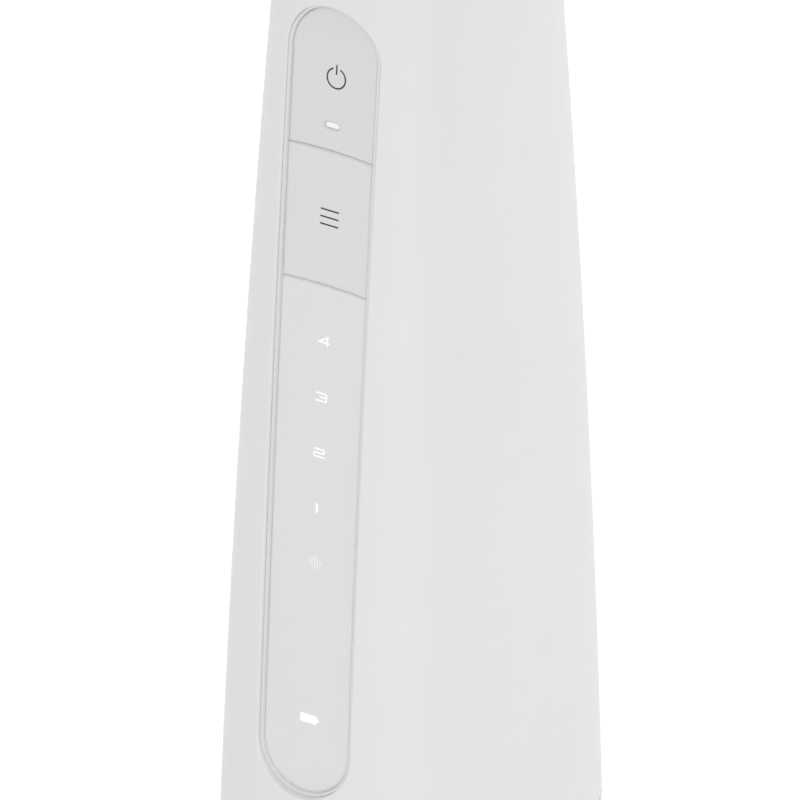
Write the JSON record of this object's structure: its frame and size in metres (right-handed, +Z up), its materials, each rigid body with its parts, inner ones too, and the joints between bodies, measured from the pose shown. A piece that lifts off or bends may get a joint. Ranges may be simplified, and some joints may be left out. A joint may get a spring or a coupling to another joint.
{
  "type": "cordless water flosser",
  "caption": "Cordless handheld water flosser with a tapered body, a recessed control strip, a detachable water tank and a turning nozzle.",
  "frame": {"origin": "centre of the base, on the surface that the flosser stands on", "axes": "+Z up along the body to the nozzle, -Y out of the control panel, +Y out of the back"},
  "size_m": [0.0624, 0.0788, 0.3037],
  "materials": {
    "white_shell": "fine satin moulding, white",
    "white_cap": "fine satin moulding, white",
    "white_keys": "satin, very light grey-white",
    "bezel_white": "gloss edge, white",
    "lens_white": "light-passing white acrylic",
    "light_pipe": "clear diffuser",
    "tank_clear": "smoky clear copolyester",
    "door_white": "satin, white",
    "tip_white": "gloss, white",
    "grey_rubber": "soft grey silicone",
    "black_rubber": "black nitrile",
    "white_rubber": "soft white silicone",
    "inner_plastic": "glass-filled nylon, dark grey",
    "clear_tube": "translucent silicone tube",
    "gear_plastic": "acetal, natural",
    "steel": "plain steel",
    "brass": "turned brass",
    "magnet": "ferrite",
    "board": "green solder resist",
    "cell_wrap": "shrink sleeve",
    "led_white": "diode lens"
  },
  "bodies": {
    "housing": {"housing": "white_shell", "top_cap": "white_cap", "housing_floor": "inner_plastic", "panel_bezel": "bezel_white", "indicator_lens": "lens_white", "button_membrane": "grey_rubber", "control_board": "board", "board_screws": "steel", "tact_switches": "inner_plastic", "indicator_leds": "led_white", "port_o_ring": "black_rubber", "suction_tube": "clear_tube", "suction_filter": "inner_plastic", "chassis": "inner_plastic", "chassis_screws": "steel", "motor_screws": "steel", "motor_can": "steel", "motor_magnets": "magnet", "motor_end_cap": "inner_plastic", "gear_axle": "steel", "pump_cylinder": "inner_plastic", "pump_head": "inner_plastic", "pump_valves": "grey_rubber", "pump_screws": "steel", "inlet_tube": "clear_tube", "outlet_tube": "clear_tube", "battery_cell": "cell_wrap", "battery_tabs": "steel", "nozzle_seat": "inner_plastic", "nozzle_gasket": "black_rubber", "seat_screws": "steel", "release_spring": "steel", "charge_port": "steel"},
    "power_button": {"power_button": "white_keys", "power_led_window": "light_pipe"},
    "mode_button": {"mode_button": "white_keys"},
    "nozzle_dial": {"nozzle_dial": "white_cap"},
    "nozzle_tip": {"nozzle_tip": "tip_white", "stem_o_ring": "black_rubber"},
    "nozzle_release": {"nozzle_release": "white_keys"},
    "tank": {"tank": "tank_clear", "foot_ring": "grey_rubber", "lid_hinge_pin": "steel"},
    "tank_lid": {"tank_lid": "door_white", "lid_seal": "grey_rubber"},
    "port_cover": {"port_cover": "white_rubber"},
    "drive_gear": {"drive_gear": "gear_plastic"},
    "rotor": {"motor_rotor": "steel", "pinion": "brass"},
    "piston": {"piston_yoke": "gear_plastic", "piston_seal": "black_rubber"}
  },
  "joints": [
    {"name": "power_press", "type": "slide", "parent": "housing", "child": "power_button", "axis": [0, 0.9981, -0.0611], "range_m": [0, 0.0005], "stiffness_N_per_m": 1500},
    {"name": "mode_press", "type": "slide", "parent": "housing", "child": "mode_button", "axis": [0, 0.9981, -0.0611], "range_m": [0, 0.0005], "stiffness_N_per_m": 1500},
    {"name": "dial_spin", "type": "hinge", "parent": "housing", "child": "nozzle_dial", "pos_m": [0, 0, 0.25], "axis": [0, 0, 1], "continuous": true},
    {"name": "tip_lift", "type": "slide", "parent": "nozzle_dial", "child": "nozzle_tip", "axis": [0, 0, 1], "range_m": [0, 0.035]},
    {"name": "release_press", "type": "slide", "parent": "housing", "child": "nozzle_release", "axis": [0, -1, 0], "range_m": [0, 0.002], "stiffness_N_per_m": 800, "deforming": ["release_spring"]},
    {"name": "tank_slide", "type": "slide", "parent": "housing", "child": "tank", "axis": [0, 0, -1], "range_m": [0, 0.06]},
    {"name": "lid_hinge", "type": "hinge", "parent": "tank", "child": "tank_lid", "pos_m": [0, 0.03667, 0.0185], "axis": [-1, 0, 0], "range_deg": [0, 90]},
    {"name": "port_cover_hinge", "type": "hinge", "parent": "housing", "child": "port_cover", "pos_m": [0, 0.03738, 0.0698], "axis": [-1, 0, 0], "range_deg": [0, 110]},
    {"name": "gear_spin", "type": "hinge", "parent": "housing", "child": "drive_gear", "pos_m": [0, -0.0086, 0.11], "axis": [0, 1, 0], "continuous": true},
    {"name": "rotor_spin", "type": "hinge", "parent": "housing", "child": "rotor", "pos_m": [0, -0.0086, 0.1292], "axis": [0, 1, 0], "continuous": true},
    {"name": "piston_slide", "type": "slide", "parent": "housing", "child": "piston", "axis": [0, 0, 1], "range_m": [-0.0025, 0.0025]}
  ],
  "couplings": [
    {"joint": "gear_spin", "follows": "rotor_spin", "ratio": -0.33333}
  ]
}
